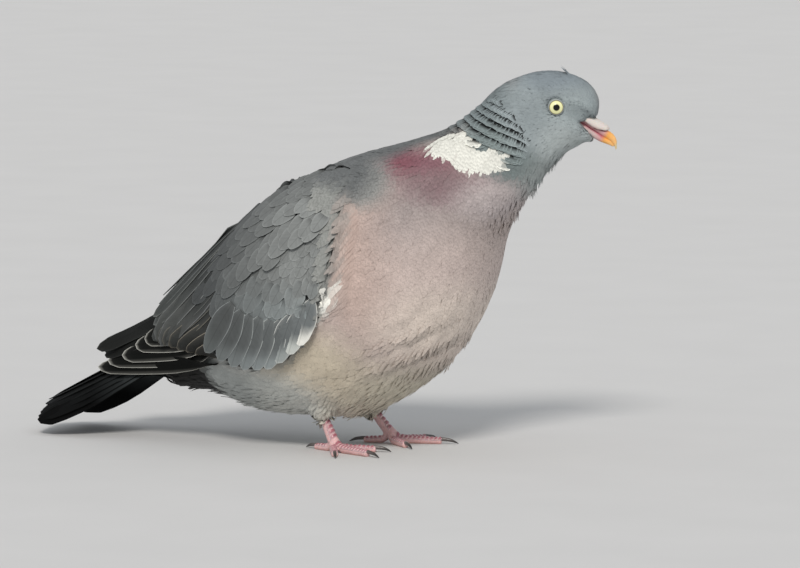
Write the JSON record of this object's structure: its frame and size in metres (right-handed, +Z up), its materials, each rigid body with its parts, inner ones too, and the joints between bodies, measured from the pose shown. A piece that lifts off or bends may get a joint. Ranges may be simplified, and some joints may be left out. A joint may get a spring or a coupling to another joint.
{
  "type": "wood pigeon",
  "caption": "Life-size common wood pigeon standing still with its neck stretched forward and its head turned slightly to its left.",
  "frame": {"origin": "on the floor under the middle of the bird's box, level with the soles of its toes", "axes": "+X the way the trunk faces, +Y the bird's left, +Z up"},
  "size_m": [0.355, 0.1318, 0.2245],
  "materials": {
    "plumage_pink": "soft, matt body feathers",
    "plumage_neck": "ruffled feathers with a faint green and purple gloss",
    "plumage_grey": "matt blue-grey feathers",
    "flight_slate": "firm, matt flight feathers",
    "bill_orange": "smooth horn, satin",
    "cere_white": "powdery swollen skin",
    "eye_yellow": "wet and clear",
    "leg_red": "scaly skin, satin",
    "claw_horn": "smooth horn"
  },
  "bodies": {
    "root": {"trunk": "plumage_pink", "neck": "plumage_neck", "head": "plumage_grey", "thigh_right": "plumage_pink", "thigh_left": "plumage_pink", "wing_right": "plumage_grey", "wing_left": "plumage_grey", "flight_right": "flight_slate", "flight_left": "flight_slate", "tail": "flight_slate", "bill_upper": "bill_orange", "bill_lower": "bill_orange", "cere": "cere_white", "eye_right": "eye_yellow", "eye_left": "eye_yellow", "foot_right": "leg_red", "foot_left": "leg_red", "claw_middle_right": "claw_horn", "claw_middle_left": "claw_horn", "claw_inner_right": "claw_horn", "claw_inner_left": "claw_horn", "claw_outer_right": "claw_horn", "claw_outer_left": "claw_horn", "claw_hind_right": "claw_horn", "claw_hind_left": "claw_horn"}
  },
  "joints": []
}
